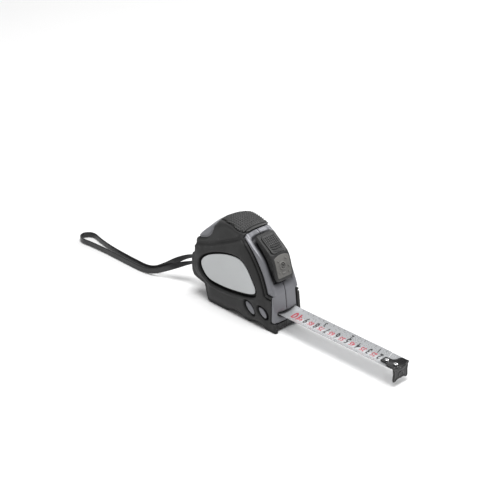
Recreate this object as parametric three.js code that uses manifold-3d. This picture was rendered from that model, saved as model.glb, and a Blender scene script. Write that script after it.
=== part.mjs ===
// Pocket tape measure: 5 m x 19 mm blade, two moulded half shells in rubber jackets, sliding lock, belt clip
// and wrist strap. Millimetres, +Z up. The origin is on the sole of the rear foot, on the mid-plane; +X is the
// way the blade comes out, the label is on the -Y side and the belt clip on the +Y side.
import * as THREE from 'three';
import { mergeVertices } from 'three/addons/utils/BufferGeometryUtils.js';
import Module from 'manifold-3d';

const wasm = await Module();
wasm.setup();

// ---- Driving dimensions ----
const GAP = 0.3;                 // clearance between pieces that touch
const PARTING = 0.15;            // half the clearance on the case's parting plane
const SHELL_HALF = 12;           // half width over the two shells
const WALL = 1.8;                // shell wall
const SKIN = 2;                  // rubber on the edge of the shells
const CORE_FLOOR = 4.8;          // underside of the shells
const CROWN_HALF = 13.4;         // half width of the crown
const LIP_HALF = 14.15;          // half width at the front lips
const BULGE_HALF = 15.85;        // half width where the sides bulge
const RAIL_INNER = 9.2;          // half width of the lock button's channel
const RAIL_OUTER = 13;           // half width over the grey front frame
const MOUTH_HALF = 10.4;         // half width of the mouth between the rubber lips
const NOSE_HALF = 13.6;          // half width of the grey nose on the label side
const SLOT = { half: 9.4, bottom: 10.3, top: 15.6 };
const DRUM = { x: 15, z: 36.4, post: 3, bore: 3.4, hubIn: 16, hub: 17.2, half: 9.7 };
const COIL = { inner: 17.5, outer: 22.7, half: 9.4 };
const BLADE = { half: 9, z: 11.4, curl: 3, thick: 0.24, start: 16, joint: 150.5, end: 163.8, flatTo: 34, rise: 1.9 };
const HOOK = { face: 166.4, plate: 1.3, half: 7.9, top: 0.9, bottom: 3.2, tail: 149.1, float: 1 };
const RIVETS = [153.1, 161.1];
const RIVET = { shank: 0.95, head: 1.8, headHigh: 0.75, tail: 1.6, tailHigh: 0.4 };
const BUTTON_HALF = 8.8;
const SCREWS = { front: [45.3, 20.2], top: [16.4, 63.6], rear: [-20.5, 37.5] };
const SCREW = { shank: 1, head: 2.1, headHigh: 1.4, hole: 1.35, counterbore: 2.45, length: 9 };
const DISC = { radius: 25, face: 17.1, bed: 13.8 };
const CLIP = { x0: 1.5, x1: 22.8, gauge: 1.1, inner: 17.45, outer: 23, top: 49, root: 37, tip: 17.5 };
const STRAP_PIN = { x: -24.3, z: 22.5, radius: 1.2, half: 6.8 };
const STRAP_SLOT = { half: 3.5, low: 17.6, high: 27.4 };

const p = (x, z) => new THREE.Vector2(x, z);

// ---- Solids ----
function solidOf(geometry) {
  geometry.deleteAttribute('normal');
  geometry.deleteAttribute('uv');
  const merged = mergeVertices(geometry, 1e-4);
  const vertProperties = new Float32Array(merged.attributes.position.array);
  const triVerts = new Uint32Array(merged.index.array);
  return new wasm.Manifold(new wasm.Mesh({ numProp: 3, vertProperties, triVerts }));
}

function geometryOf(solid) {
  const mesh = solid.getMesh();
  const geometry = new THREE.BufferGeometry();
  geometry.setAttribute('position', new THREE.BufferAttribute(new Float32Array(mesh.vertProperties), 3));
  geometry.setIndex(new THREE.BufferAttribute(new Uint32Array(mesh.triVerts), 1));
  geometry.computeVertexNormals();
  return geometry;
}

// A side outline (x, z) made solid from y0 to y1.
function slab(points, y0, y1) {
  const geometry = new THREE.ExtrudeGeometry(new THREE.Shape(points), { depth: y1 - y0, bevelEnabled: false });
  return solidOf(geometry.rotateX(Math.PI / 2).translate(0, y1, 0));
}

// The same with both rims bevelled inside the outline.
function bevelledSlab(points, y0, y1, high, wide) {
  const geometry = new THREE.ExtrudeGeometry(new THREE.Shape(points), {
    depth: y1 - y0 - 2 * high, bevelEnabled: true, bevelThickness: high, bevelSize: wide, bevelOffset: -wide,
    bevelSegments: 2,
  });
  return solidOf(geometry.rotateX(Math.PI / 2).translate(0, y1 - high, 0));
}

// A plan outline (x, y) made solid from z0 to z1.
function plan(points, z0, z1) {
  const geometry = new THREE.ExtrudeGeometry(new THREE.Shape(points), { depth: z1 - z0, bevelEnabled: false });
  return solidOf(geometry.translate(0, 0, z0));
}

// A front outline (y, z) made solid from x0 to x1.
function frontal(points, x0, x1) {
  const geometry = new THREE.ExtrudeGeometry(new THREE.Shape(points), { depth: x1 - x0, bevelEnabled: false });
  geometry.applyMatrix4(new THREE.Matrix4().set(0, 0, 1, x0, 1, 0, 0, 0, 0, 1, 0, 0, 0, 0, 0, 1));
  return solidOf(geometry);
}

function box([x0, x1], [y0, y1], [z0, z1]) {
  const geometry = new THREE.BoxGeometry(x1 - x0, y1 - y0, z1 - z0);
  return solidOf(geometry.translate((x0 + x1) / 2, (y0 + y1) / 2, (z0 + z1) / 2));
}

function rodY(x, z, radius, y0, y1, sides = 12) {
  const geometry = new THREE.CylinderGeometry(radius, radius, y1 - y0, sides);
  return solidOf(geometry.translate(x, (y0 + y1) / 2, z));
}

function rodZ(x, y, radius, z0, z1, sides = 12) {
  const geometry = new THREE.CylinderGeometry(radius, radius, z1 - z0, sides);
  return solidOf(geometry.rotateX(Math.PI / 2).translate(x, y, (z0 + z1) / 2));
}

// A ring about the drum's axis, from its closed (radius, y) profile.
function drumRing(profile, sides) {
  const geometry = new THREE.LatheGeometry([...profile, profile[0]], sides);
  return solidOf(geometry.translate(DRUM.x, 0, DRUM.z));
}

function largest(solid) {
  const bodies = solid.decompose();
  return bodies.reduce((best, body) => (body.volume() > best.volume() ? body : best));
}

// ---- Outlines ----
// Moves every corner of a closed outline inwards by d.
function inset(points, d) {
  const turn = THREE.ShapeUtils.isClockWise(points) ? -1 : 1;
  return points.map((point, i) => {
    const before = points[(i + points.length - 1) % points.length];
    const after = points[(i + 1) % points.length];
    const a = point.clone().sub(before).normalize();
    const b = after.clone().sub(point).normalize();
    const normal = p(-(a.y + b.y), a.x + b.x).normalize().multiplyScalar(turn);
    const lean = Math.max(0.5, normal.dot(p(-a.y, a.x).multiplyScalar(turn)));
    return point.clone().addScaledVector(normal, d / lean);
  });
}

function caseOutline(arched) {
  const shape = new THREE.Shape();
  shape.moveTo(60, 0);
  shape.lineTo(56.3, 28.6);
  shape.splineThru([p(52.5, 37.5), p(44.5, 52.8), p(33.7, 63.6), p(27.4, 67.6)]);
  shape.lineTo(24.4, 69.8);
  shape.splineThru([p(17, 72.2), p(7, 72.7), p(-3.6, 68.6)]);
  shape.splineThru([p(-13.7, 61.6), p(-21, 53.6), p(-24.9, 47.4), p(-26.4, 40)]);
  shape.lineTo(-26.8, 36);
  shape.lineTo(-28.8, 34.6);
  shape.lineTo(-29.8, 31.9);
  shape.lineTo(-29.8, 24);
  shape.quadraticCurveTo(-29.4, 15.6, -23, 14.6);
  shape.lineTo(-15.6, 13);
  shape.lineTo(-13, 3.4);
  shape.quadraticCurveTo(-12, 0.4, -9.3, 0);
  if (arched) {
    shape.lineTo(8.8, 0);
    shape.splineThru([p(14.5, 2.1), p(21, 2.8), p(29.4, 0)]);
    shape.lineTo(32.4, 0);
    shape.splineThru([p(37, 1.7), p(42.5, 2.3), p(50.1, 0)]);
  }
  return shape.getPoints(2).slice(0, -1).concat(arched ? [p(50.1, 0)] : [p(-9.3, 0)]);
}

const outline = caseOutline(true);
const core = inset(caseOutline(false), SKIN);
const coreGrown = inset(caseOutline(false), SKIN - GAP);
const cavity = inset(caseOutline(false), SKIN + WALL);
const frameInner = [p(24.6, 65.4), p(29.6, 61.5), p(35.3, 55.8), p(40.1, 49.4), p(45.3, 41.2), p(48.6, 33.3),
  p(50.2, 28.6)];
const frameBand = [...frameInner, p(58, 28.6), p(52.4, 42), p(41, 60), p(30, 68.6), p(26, 69.6)];
const frameBar = [p(24.6, 65.4), p(27.2, 62), p(28.9, 63.6), p(29, 66.8), p(27.2, 68.6), p(25.6, 69.4)];
const frontBlock = [p(50, 7.2), p(58.4, 7.2), p(57.8, 12.2), p(55.6, 28.7), p(54.4, 32.4), p(52, 35.6), p(48.4, 35.8)];
const nose = [p(55.1, 7.6), p(58.35, 7.6), p(57.8, 12.2), p(55.75, 28.3), p(55.1, 28.3)];
const noseRoom = [p(54.8, 7.3), p(64, 7.3), p(64, 28.6), p(54.8, 28.6)];
const rearInsert = [p(-28, 49.2), p(-24.4, 48.9), p(-18.9, 50.3), p(-13.5, 52.6), p(-9.8, 56), p(-7.2, 61.4),
  p(-6, 66.4), p(-7, 72), p(-28, 72)];
const gripRegion = [p(24.9, 68.3), p(27.4, 76), p(-8, 76), p(-6, 67), p(0.3, 69), p(6, 69.9), p(11.5, 70),
  p(19, 68.3), p(22.6, 67.9)];
const lowerSide = [p(-25.9, 42.3), p(-22.5, 43.7), p(-15.7, 45.6), p(-8, 48.3), p(-1.3, 51.4), p(8.2, 55.5),
  p(16.6, 59.6), p(23, 63.2), ...frameInner.slice(1).map((q) => p(q.x - 0.4, q.y)), p(56.2, 28.6),
  p(59.9, 0.6), p(50.4, 0.6), p(42.5, 2.9), p(32.4, 0.6), p(29.4, 0.6), p(21, 3.4), p(8.8, 0.6), p(-9.2, 0.6),
  p(-12.3, 3.4), p(-15, 13.4), p(-23, 15.2), p(-28, 18), p(-29.2, 24), p(-29.2, 31.9), p(-28.4, 34.2),
  p(-26.4, 36)];
const pillow = [p(-22, 40.5), p(-8, 46), p(8.2, 53), p(17, 57.6), p(24, 60), p(32.5, 54.5), p(38.6, 46.8),
  p(43, 39), p(47.2, 28.6), p(50.5, 26), p(53.5, 6.5), p(49, 3), p(-7, 3), p(-10, 5.6), p(-12.6, 15),
  p(-22, 18.5), p(-26.5, 24), p(-26, 33)];
const labelPlate = new THREE.SplineCurve([p(-17.2, 30.6), p(-10.9, 38.8), p(6.3, 46), p(21.3, 48.2),
  p(29.7, 44.2), p(37.2, 34), p(39.8, 28.4), p(37.3, 24.9), p(24.3, 21.8), p(5.4, 19.8), p(-10, 21.4),
  p(-17.2, 30.6)]).getPoints(30).slice(0, -1);
const crescent = [...new THREE.EllipseCurve(15, 36.4, 31.4, 31.4, -0.12, -1.75, true).getPoints(14),
  ...new THREE.EllipseCurve(14, 35.5, 27.2, 27.2, -1.75, -0.06, false).getPoints(14)];

function tiltedOval(x, z, long, short, angle) {
  return new THREE.EllipseCurve(x, z, long, short, 0, 2 * Math.PI, false, angle).getPoints(16).slice(0, -1);
}

const ovals = [tiltedOval(34.4, 12.6, 6, 3.1, -0.73), tiltedOval(47.1, 13.4, 5, 2.5, -0.73)];

const outwards = (side, a, b) => (side > 0 ? [a, b] : [-b, -a]);

// ---- Case ----
function coreBlock(side, points, floor, reach) {
  return slab(points, ...outwards(side, -1, reach)).intersect(box([-60, 90], [-20, 20], [floor, 90]));
}

function strapSlot() {
  return box([-32, STRAP_PIN.x + 2.8], [-STRAP_SLOT.half, STRAP_SLOT.half], [STRAP_SLOT.low, STRAP_SLOT.high]);
}

const neckSlot = [p(44, 37), p(54, 41), p(43, 58), p(34.6, 54)];
const throat = box([46, 62], [-SLOT.half, SLOT.half], [SLOT.bottom, SLOT.top]);

function caseShell(side) {
  const reach = (points, a, b) => slab(points, ...outwards(side, a, b));
  const whole = reach(outline, -1, 16);
  let shell = coreBlock(side, core, CORE_FLOOR, SHELL_HALF);
  shell = shell.subtract(coreBlock(side, cavity, CORE_FLOOR + WALL, SHELL_HALF - WALL));
  shell = shell.add(reach(frameBand, RAIL_INNER, RAIL_OUTER).intersect(whole));
  shell = shell.add(reach(frameBar, 0, RAIL_INNER + 0.1).intersect(whole));
  shell = shell.add(reach(frontBlock, 0, MOUTH_HALF));
  if (side < 0) shell = shell.add(reach(nose, 9, NOSE_HALF));
  shell = shell.add(reach(rearInsert, 0, RAIL_OUTER - GAP).intersect(whole).subtract(reach(cavity, -1, 10)));
  for (const [x, z] of Object.values(SCREWS)) {
    shell = shell.add(rodY(x, z, 2.5, ...outwards(side, 0, SHELL_HALF)));
    shell = shell.subtract(rodY(x, z, SCREW.hole, ...outwards(side, -1, side > 0 ? 20 : 7)));
    if (side > 0) shell = shell.subtract(rodY(x, z, SCREW.counterbore, SHELL_HALF - 1.3, 20));
  }
  const block = box([-28.4, STRAP_PIN.x + 3], outwards(side, 0, 7), [16.6, 28.6]).intersect(reach(core, -1, 16));
  shell = shell.add(block).subtract(strapSlot());
  const pinHole = outwards(side, -1, STRAP_PIN.half + GAP);
  shell = shell.subtract(rodY(STRAP_PIN.x, STRAP_PIN.z, STRAP_PIN.radius + GAP, ...pinHole));
  const windows = side > 0 ? [crescent] : ovals;
  for (const window of windows) shell = shell.add(reach(window, SHELL_HALF - 0.5, BULGE_HALF - 0.8));
  shell = shell.subtract(throat).subtract(slab(neckSlot, -2.6, 2.6));
  shell = shell.subtract(box([54.1, 62], [-MOUTH_HALF - GAP, MOUTH_HALF + GAP], [-1, 6.9]));
  return largest(shell.subtract(box([-90, 90], outwards(side, -20, PARTING), [-10, 90])));
}

function soleTab(room) {
  return box([-5 - room, 5 + room], [-1, 3 + room], [-room, CORE_FLOOR - 2 * GAP + room]);
}

function rubberJacket(side) {
  const reach = (points, a, b) => slab(points, ...outwards(side, a, b));
  let jacket = reach(outline, PARTING, CROWN_HALF).add(reach(lowerSide, SHELL_HALF, LIP_HALF));
  jacket = jacket.add(bevelledSlab(pillow, ...outwards(side, LIP_HALF - 1.8, BULGE_HALF), 1.7, 3));
  jacket = jacket.subtract(coreBlock(side, coreGrown, CORE_FLOOR - GAP, SHELL_HALF + GAP));
  // A tab in the rear foot's sole keys the right jacket into the left one.
  jacket = side < 0 ? jacket.add(soleTab(0)) : jacket.subtract(soleTab(GAP));
  for (const region of [frameBand, rearInsert, gripRegion]) {
    jacket = jacket.subtract(reach(inset(region, -GAP), -1, 20));
  }
  const mouth = [p(49.7, 6.9), p(54.1, 6.9), p(54.1, -1), p(62, -1), p(62, 30), p(49.7, 30)];
  jacket = jacket.subtract(reach(mouth, -1, MOUTH_HALF + GAP)).subtract(strapSlot());
  for (const window of side > 0 ? [crescent] : ovals) jacket = jacket.subtract(reach(inset(window, -GAP), 9, 20));
  if (side < 0) {
    return largest(jacket.subtract(reach(inset(labelPlate, -0.4), 14.4, 20)).subtract(reach(noseRoom, 9, 20)));
  }
  jacket = jacket.subtract(rodY(DRUM.x, DRUM.z, DISC.radius + GAP, DISC.bed - GAP, 20, 40));
  for (const [x, z] of Object.values(SCREWS)) jacket = jacket.subtract(rodY(x, z, 2.8, 9, 20));
  return largest(jacket);
}

function gripPad() {
  const camber = [p(-CROWN_HALF, 60)];
  for (let y = -CROWN_HALF; y < CROWN_HALF + 0.1; y += CROWN_HALF / 4) {
    camber.push(p(y, 73 - 1.3 * (y / CROWN_HALF) ** 2));
  }
  camber.push(p(CROWN_HALF, 60));
  const whole = slab(outline, -CROWN_HALF, CROWN_HALF).intersect(frontal(camber, -10, 40));
  const blocks = slab(coreGrown, -SHELL_HALF - GAP, SHELL_HALF + GAP);
  return largest(slab(gripRegion, -CROWN_HALF, CROWN_HALF).intersect(whole).subtract(blocks));
}

function roundCover() {
  const disc = rodY(DRUM.x, DRUM.z, DISC.radius, DISC.bed, DISC.face - 0.8, 40);
  const raised = rodY(DRUM.x, DRUM.z, DISC.radius - 1.5, DISC.bed, DISC.face, 40);
  const screwHole = rodY(11.2, 42.3, SCREW.hole, 0, 30);
  const around = slab(inset(crescent, -GAP), 9, 20).add(rodY(...SCREWS.top, 2.8, 9, 20));
  return largest(disc.add(raised).subtract(screwHole).subtract(around));
}

// ---- Belt clip: a spring steel hairpin, its inner leg under the screw and its outer leg free ----
function clipPath(points, x0, x1) {
  const line = points.map(([y, z]) => p(y, z));
  const other = line.map((q, i) => {
    const a = line[Math.max(i - 1, 0)];
    const b = line[Math.min(i + 1, line.length - 1)];
    const along = b.clone().sub(a).normalize();
    return p(q.x - along.y * CLIP.gauge, q.y + along.x * CLIP.gauge);
  });
  return frontal([...line, ...other.reverse()], x0, x1);
}

function clipRoot() {
  const bend = (CLIP.outer - CLIP.inner) / 2;
  const middle = CLIP.inner + bend;
  const leg = box([5.5, 18.5], [CLIP.inner, CLIP.inner + CLIP.gauge], [CLIP.root, CLIP.top]);
  const arc = [];
  for (let i = 0; i <= 4; i += 1) {
    const angle = Math.PI - (i * Math.PI) / 8;
    arc.push([middle + bend * Math.cos(angle), CLIP.top - 0.05 + bend * Math.sin(angle)]);
  }
  const arch = clipPath(arc.reverse(), CLIP.x0 + 3, CLIP.x1 - 3);
  const hole = rodY(11.2, 42.3, SCREW.hole, 10, 22);
  return largest(leg.add(arch).subtract(hole));
}

function beltClip() {
  const bend = (CLIP.outer - CLIP.inner) / 2;
  const middle = CLIP.inner + bend;
  const line = [];
  for (let i = 0; i <= 4; i += 1) {
    const angle = ((Math.PI / 2 - 0.42) * (4 - i)) / 4;
    line.push([middle + bend * Math.cos(angle), CLIP.top + bend * Math.sin(angle)]);
  }
  line.push([CLIP.outer - 0.1, 24], [CLIP.outer + 0.5, 20.4], [CLIP.outer + 1.9, CLIP.tip]);
  const strip = clipPath(line.reverse(), CLIP.x0, CLIP.x1);
  return strip.subtract(box([8, 16], [CLIP.inner + 2, 30], [32.7, 46.3]));
}

function screwY(x, z, top, length, head) {
  return rodY(x, z, SCREW.shank, top - length, top - 0.5, 10).add(rodY(x, z, head, top - SCREW.headHigh, top));
}

// ---- Lock ----
const buttonOutline = [p(54, 37), p(55.4, 38.8), p(54.3, 43.6), p(52.6, 50), p(48.8, 57.6), p(42.5, 62), p(34.4, 67.7),
  p(31.5, 67.3), p(32.8, 63.9), p(38.6, 58.9), p(44.4, 52.4), p(49, 44.4)];
const buttonPad = [p(48.4, 58.4), p(42.3, 62.7), p(35.6, 67.3), p(36.1, 68.1), p(42.8, 63.5), p(49.1, 59.1)];

function lockButton() {
  const body = bevelledSlab(buttonOutline, -BUTTON_HALF, BUTTON_HALF, 0.9, 0.9);
  const neck = slab([p(50, 45), p(46, 52), p(39.2, 49.2), p(41.6, 41.8)], -2.2, 2.2);
  return body.add(neck).subtract(slab(inset(buttonPad, -GAP), -6.9, 6.9));
}

function brakeShoe() {
  const profile = [p(37, 14.1), p(41.2, 14.1), p(41.6, 24), p(43.6, 36.4), p(40.6, 37.4), p(38.4, 26), p(36.6, 20)];
  return slab(profile, -7.4, 7.4).subtract(box([30, 50], [2.6, 8], [25, 40]))
    .subtract(box([30, 50], [-8, -2.6], [25, 40]));
}

// ---- Blade ----
const curlAt = (y) => BLADE.curl * (y / BLADE.half) ** 2;

function curlBand(low, high, half, steps) {
  const points = [];
  for (let i = 0; i <= steps; i += 1) {
    const y = -half + (2 * half * i) / steps;
    points.push(p(y, BLADE.z + curlAt(y) + low));
  }
  for (let i = steps; i >= 0; i -= 1) {
    const y = -half + (2 * half * i) / steps;
    points.push(p(y, BLADE.z + curlAt(y) + high));
  }
  return points;
}

// The straight stretch, which flattens and rises to meet the coil.
function straightBlade() {
  const shape = new THREE.Shape(curlBand(0, BLADE.thick, BLADE.half, 10));
  const length = BLADE.joint - BLADE.start;
  const geometry = new THREE.ExtrudeGeometry(shape, { depth: length, steps: 14, bevelEnabled: false });
  geometry.applyMatrix4(new THREE.Matrix4().set(0, 0, 1, BLADE.start, 1, 0, 0, 0, 0, 1, 0, 0, 0, 0, 0, 1));
  const place = geometry.attributes.position;
  for (let i = 0; i < place.count; i += 1) {
    const share = THREE.MathUtils.smoothstep(place.getX(i), BLADE.start + 4, BLADE.flatTo);
    place.setZ(i, place.getZ(i) + (BLADE.rise - curlAt(place.getY(i))) * (1 - share));
  }
  return solidOf(geometry);
}

function bladeTip() {
  let tip = frontal(curlBand(0, BLADE.thick, BLADE.half, 10), BLADE.joint + GAP, BLADE.end);
  for (const x of RIVETS) tip = tip.subtract(rodZ(x, 0, RIVET.shank + GAP, 10, 20, 10));
  return tip;
}

const rivetBase = BLADE.z + BLADE.thick + GAP;

function hookRivet(x) {
  const tongueTop = rivetBase + HOOK.top + GAP + 0.25;
  const head = rodZ(x, 0, RIVET.head, tongueTop, tongueTop + RIVET.headHigh);
  const tail = rodZ(x, 0, RIVET.tail, BLADE.z - GAP - RIVET.tailHigh, BLADE.z - GAP);
  return head.add(tail).add(rodZ(x, 0, RIVET.shank, BLADE.z - GAP - 0.1, tongueTop + 0.1, 10));
}

function endHook() {
  const { face, plate, half, tail, bottom } = HOOK;
  const tongue = 3.3;
  const shape = [p(face, -half), p(face, half), p(160, half), p(157.1, 6), p(155.1, tongue), p(151.2, tongue),
    p(tail + 0.6, 2.4), p(tail, 0), p(tail + 0.6, -2.4), p(151.2, -tongue), p(155.1, -tongue), p(157.1, -6),
    p(160, -half)];
  const rise = BLADE.thick + GAP;
  let hook = frontal(curlBand(rise, rise + HOOK.top, half + 1, 12), tail - 1, face).intersect(plan(shape, 0, 30));
  const top = BLADE.z + rise;
  const front = [p(-half, top + curlAt(half) + HOOK.top / 2), p(-7.1, 8), p(-7.4, bottom + 1), p(-6, bottom),
    p(-4.2, bottom + 0.6), p(-3, bottom + 1.8), p(3, bottom + 1.8), p(4.2, bottom + 0.6), p(6, bottom),
    p(7.4, bottom + 1), p(7.1, 8), p(half, top + curlAt(half) + HOOK.top / 2), p(4, top + 1), p(0, top + 0.5), p(-4, top + 1)];
  hook = hook.add(frontal(front, face - plate, face));
  for (const x of RIVETS) {
    const r = RIVET.shank + GAP;
    hook = hook.subtract(rodZ(x, 0, r, 10, 20, 12)).subtract(rodZ(x + HOOK.float, 0, r, 10, 20, 12));
    hook = hook.subtract(box([x, x + HOOK.float], [-r * 0.98, r * 0.98], [10, 20]));
  }
  return largest(hook);
}

// ---- Reel ----
function reel() {
  const { bore, hub, hubIn, half } = DRUM;
  const web = half - 1;
  return drumRing([p(bore, -half), p(hub, -half), p(hub, half), p(hubIn, half), p(hubIn, -web), p(bore, -web)], 36);
}

function powerSpring() {
  const turns = 5;
  const steps = turns * 14;
  const wind = (offset) => Array.from({ length: steps + 1 }, (_, i) => {
    const angle = (i / steps) * turns * 2 * Math.PI;
    const radius = 4.6 + (i / steps) * 9.8 + offset;
    return p(DRUM.x + radius * Math.cos(angle), DRUM.z + radius * Math.sin(angle));
  });
  return slab([...wind(0), ...wind(0.8).reverse()], -8.1, 8.1);
}

// ---- Wrist strap: one closed-up loop, out of the boss over the pin and back under it ----
const strapRoute = [
  [-30.2, 0, 24.6], [-37, -0.7, 23.9], [-46, -2.9, 20.8], [-55, -6.3, 15.6], [-63.5, -9.8, 9.6], [-72, -12.6, 4.8],
  [-81, -13.8, 2.8], [-95, -13.9, 2.6], [-112, -13.4, 2.6], [-128, -12.2, 2.6], [-142, -10, 2.6], [-151, -7.9, 2.6],
  [-156.6, -8.9, 2.6], [-159.6, -13.4, 2.6], [-157.6, -18.2, 2.6], [-151.6, -20.4, 2.6], [-142, -19.6, 2.6],
  [-128, -18.9, 2.6], [-112, -18.8, 2.6], [-95, -19, 2.6], [-81, -18.6, 2.7], [-71, -16.4, 4], [-62, -12.9, 7.8],
  [-53.5, -8.9, 12.2], [-45, -5, 16.2], [-37, -1.8, 19.2], [-30.2, 0, 20.4],
];

function wristStrap() {
  const path = new THREE.CatmullRomCurve3(strapRoute.map((q) => new THREE.Vector3(...q)));
  const section = new THREE.Shape(new THREE.EllipseCurve(0, 0, 1.5, 1.5, 0, 2 * Math.PI).getPoints(8).slice(0, -1));
  return solidOf(new THREE.ExtrudeGeometry(section, { steps: 78, bevelEnabled: false, extrudePath: path }));
}

// ---- Assembly ----
const looks = {
  rubber: { color: 0x2b2b2c, roughness: 0.8, metalness: 0 },
  grip: { color: 0x232325, roughness: 0.85, metalness: 0 },
  shell: { color: 0x8c8c92, roughness: 0.4, metalness: 0.15 },
  label: { color: 0xd2d5d6, roughness: 0.35, metalness: 0 },
  cover: { color: 0x303133, roughness: 0.55, metalness: 0 },
  button: { color: 0x262627, roughness: 0.6, metalness: 0 },
  blackSteel: { color: 0x1d1d1e, roughness: 0.4, metalness: 0.6 },
  steel: { color: 0xb8babd, roughness: 0.3, metalness: 0.9 },
  tape: { color: 0xc9cacb, roughness: 0.4, metalness: 0.2 },
  reel: { color: 0xd9d8d2, roughness: 0.6, metalness: 0 },
  strap: { color: 0x1c1c1d, roughness: 0.6, metalness: 0 },
};

const group = new THREE.Group();

function addPiece(name, solid, look) {
  const mesh = new THREE.Mesh(geometryOf(solid), new THREE.MeshStandardMaterial(looks[look]));
  mesh.name = name;
  group.add(mesh);
}

addPiece('right_case_shell', caseShell(-1), 'shell');
addPiece('left_case_shell', caseShell(1), 'shell');
addPiece('right_rubber_jacket', rubberJacket(-1), 'rubber');
addPiece('left_rubber_jacket', rubberJacket(1), 'rubber');
addPiece('grip_pad', gripPad(), 'grip');
addPiece('label_plate', bevelledSlab(labelPlate, -BULGE_HALF + 0.1, -14.7, 0.3, 0.3), 'label');
addPiece('round_cover', roundCover(), 'cover');
addPiece('clip_root', clipRoot(), 'blackSteel');
addPiece('belt_clip', beltClip(), 'blackSteel');
addPiece('clip_screw', screwY(11.2, 42.3, 20.2, 6.2, 2), 'steel');
for (const [place, [x, z]] of Object.entries(SCREWS)) {
  addPiece(`case_screw_${place}`, screwY(x, z, SHELL_HALF + 0.6, SCREW.length + 5.6, SCREW.head), 'steel');
}
addPiece('lock_button', lockButton(), 'button');
addPiece('button_pad', slab(buttonPad, -6.6, 6.6), 'grip');
addPiece('brake_shoe', brakeShoe(), 'reel');
const lockSpring = [p(32.4, 55.6), p(35.2, 52.2), p(37.6, 46.6), p(38.1, 46.7), p(35.8, 52.5), p(32.8, 56)];
addPiece('lock_spring', slab(lockSpring, -3, 3), 'steel');
addPiece('mouth_bumper', box([54.4, 58.2], [-9.6, 9.6], [1, 6.6]), 'grip');
addPiece('blade', straightBlade(), 'tape');
addPiece('blade_tip', bladeTip(), 'tape');
addPiece('end_hook', endHook(), 'blackSteel');
addPiece('hook_rivet_inner', hookRivet(RIVETS[0]), 'steel');
addPiece('hook_rivet_outer', hookRivet(RIVETS[1]), 'steel');
addPiece('reel', reel(), 'reel');
const coverFace = [p(DRUM.bore, 8.5), p(DRUM.hubIn - GAP, 8.5), p(DRUM.hubIn - GAP, DRUM.half), p(DRUM.bore, DRUM.half)];
addPiece('reel_cover', drumRing(coverFace, 30), 'reel');
addPiece('centre_post', rodY(DRUM.x, DRUM.z, DRUM.post, -SHELL_HALF + WALL + GAP, SHELL_HALF - WALL - GAP), 'steel');
addPiece('power_spring', powerSpring(), 'steel');
const coilFace = [p(COIL.inner, -COIL.half), p(COIL.outer, -COIL.half), p(COIL.outer, COIL.half),
  p(COIL.inner, COIL.half)];
addPiece('blade_coil', drumRing(coilFace, 40), 'tape');
addPiece('strap_pin', rodY(STRAP_PIN.x, STRAP_PIN.z, STRAP_PIN.radius, -STRAP_PIN.half, STRAP_PIN.half), 'steel');
addPiece('wrist_strap', wristStrap(), 'strap');

export default group;
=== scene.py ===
"""Pocket tape measure: the looks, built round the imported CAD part.

Rigid mouldings are distance fields in millimetres, negative inside, meshed with surface nets. The blade, its
print and the strap are swept meshes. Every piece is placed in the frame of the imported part, in metres.
"""

import math

import bmesh
import bpy
import numpy as np
from mathutils import Matrix, Vector

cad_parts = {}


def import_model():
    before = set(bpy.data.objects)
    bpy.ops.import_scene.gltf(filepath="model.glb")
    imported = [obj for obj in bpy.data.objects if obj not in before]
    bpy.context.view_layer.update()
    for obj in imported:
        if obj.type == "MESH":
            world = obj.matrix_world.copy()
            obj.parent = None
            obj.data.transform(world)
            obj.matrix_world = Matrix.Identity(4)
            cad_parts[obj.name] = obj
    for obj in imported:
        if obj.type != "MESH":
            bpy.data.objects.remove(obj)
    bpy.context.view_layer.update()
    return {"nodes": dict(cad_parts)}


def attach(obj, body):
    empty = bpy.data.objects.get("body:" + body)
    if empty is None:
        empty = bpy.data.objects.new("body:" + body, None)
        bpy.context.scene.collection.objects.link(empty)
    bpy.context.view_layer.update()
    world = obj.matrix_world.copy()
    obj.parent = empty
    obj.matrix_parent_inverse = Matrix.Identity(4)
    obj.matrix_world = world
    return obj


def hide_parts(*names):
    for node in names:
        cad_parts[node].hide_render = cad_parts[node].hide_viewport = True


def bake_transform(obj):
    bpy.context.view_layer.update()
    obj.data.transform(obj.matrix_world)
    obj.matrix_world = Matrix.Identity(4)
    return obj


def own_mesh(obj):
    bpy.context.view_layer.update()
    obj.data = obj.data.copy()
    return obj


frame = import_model()

MM = 0.001
COARSE = 1.0

# ---- Dimensions shared with the CAD, in millimetres ----
SEAM = 0.06
CROWN, LIP, BULGE = 13.4, 14.15, 15.85
SKIN, WALL, CORE = 2.0, 1.8, 12.0
GROOVE_FLOOR = 12.7
RAIL_IN, RAIL_OUT, MOUTH, NOSE_HALF = 9.2, 13.0, 10.4, 13.6
GAP = 0.3
DRUM = (15.0, 36.4)
COVER_REACH = 25.0
SCREWS = {"front": (45.3, 20.2), "top": (16.4, 63.6), "rear": (-20.5, 37.5)}
SCREW_BORE, SCREW_WELL = 1.35, 2.8
CLIP_SCREW, CLIP_MIDDLE = (11.2, 42.3), 12.15
STRAP_HOLE = (-24.3, 22.5)
SLOT_HALF = 9.4
BLADE_HALF, BLADE_Z, CURL, THICK, RISE = 9.0, 11.4, 3.0, 0.24, 1.9
BLADE_START, BLADE_JOINT, BLADE_END = 16.0, 150.5, 163.8
FLAT_TO = 34.0
HOOK_FACE, HOOK_LOW = 166.4, 3.2
RIVETS = {"inner": 153.1, "outer": 161.1}
RIVET_BORE = 1.25
PRINT_SUNK, PRINT_PROUD = 0.03, 0.035


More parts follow.
